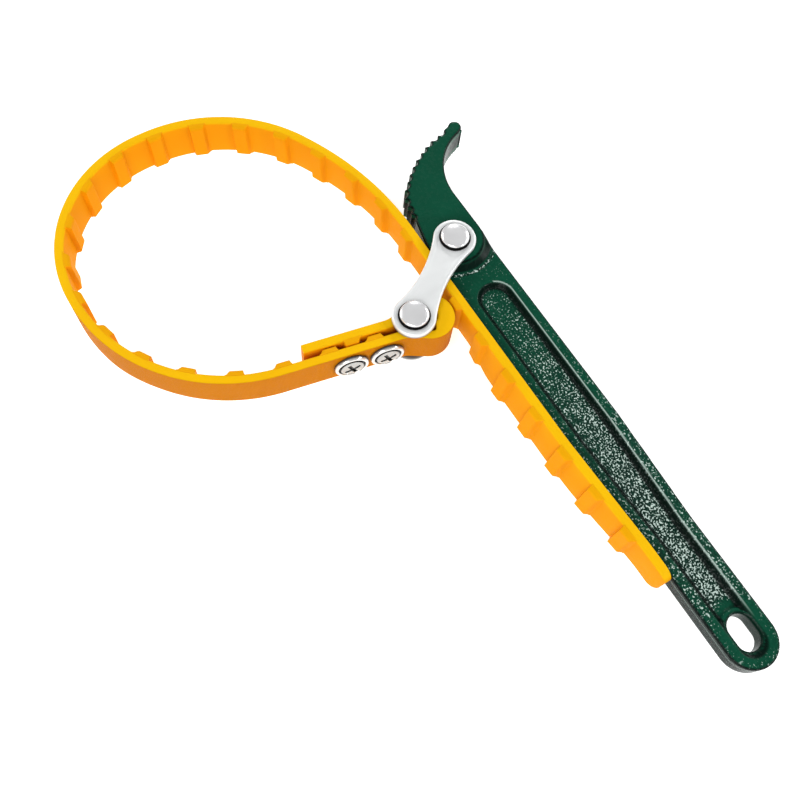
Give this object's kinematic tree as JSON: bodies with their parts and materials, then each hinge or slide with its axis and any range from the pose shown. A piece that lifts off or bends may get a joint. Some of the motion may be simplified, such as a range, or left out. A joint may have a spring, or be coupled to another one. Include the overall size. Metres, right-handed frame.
{
  "type": "oil filter wrench",
  "caption": "Strap wrench for round canisters: long cast handle with a serrated hook jaw, paired swinging links, and a toothed rubber strap folded round a pin and screwed to itself.",
  "frame": {"origin": "centre of the bounding box, at its lowest point, under the riveted pin heads", "axes": "+X down the handle from the jaw to the hang slot, +Y from the strap's loop towards the jaw's tip, +Z along the pins"},
  "size_m": [0.2822, 0.1656, 0.026],
  "materials": {
    "handle_enamel": "glossy dark green enamel, pebbled in the sunk panel",
    "link_nickel": "satin nickel plate with rounded edges",
    "pin_chrome": "polished domed rivet heads",
    "fastener_zinc": "bright zinc plate",
    "plain_steel": "plain turned steel",
    "strap_rubber": "satin yellow-orange moulded rubber with a fine weave on its back"
  },
  "bodies": {
    "handle": {"handle": "handle_enamel"},
    "links": {"front_link": "link_nickel", "back_link": "link_nickel", "pivot_pin": "pin_chrome", "strap_pin": "pin_chrome", "strap_sleeve": "plain_steel", "pivot_collar_front": "plain_steel", "pivot_collar_back": "plain_steel", "pivot_pin_washer": "fastener_zinc", "strap_pin_washer": "fastener_zinc"},
    "strap": {"strap_loop": "strap_rubber", "strap_screw_1": "fastener_zinc", "strap_screw_2": "fastener_zinc", "outer_washer_1": "fastener_zinc", "outer_washer_2": "fastener_zinc", "inner_washer_1": "fastener_zinc", "inner_washer_2": "fastener_zinc", "strap_nut_1": "plain_steel", "strap_nut_2": "plain_steel"},
    "strap_tail": {"strap_tail": "strap_rubber"}
  },
  "joints": [
    {"name": "link_swing", "type": "hinge", "parent": "handle", "child": "links", "pos_m": [-0.0394, 0.04915, 0.013], "axis": [0, 0, 1], "range_deg": [-25, 0]},
    {"name": "eye_swing", "type": "hinge", "parent": "links", "child": "strap", "pos_m": [-0.01934, 0.01849, 0.013], "axis": [0, 0, 1], "range_deg": [0, 25]},
    {"name": "strap_feed", "type": "slide", "parent": "strap", "child": "strap_tail", "axis": [1, 0, 0], "range_m": [0, 0.0168]}
  ],
  "couplings": [
    {"joint": "eye_swing", "follows": "link_swing", "ratio": -1}
  ]
}
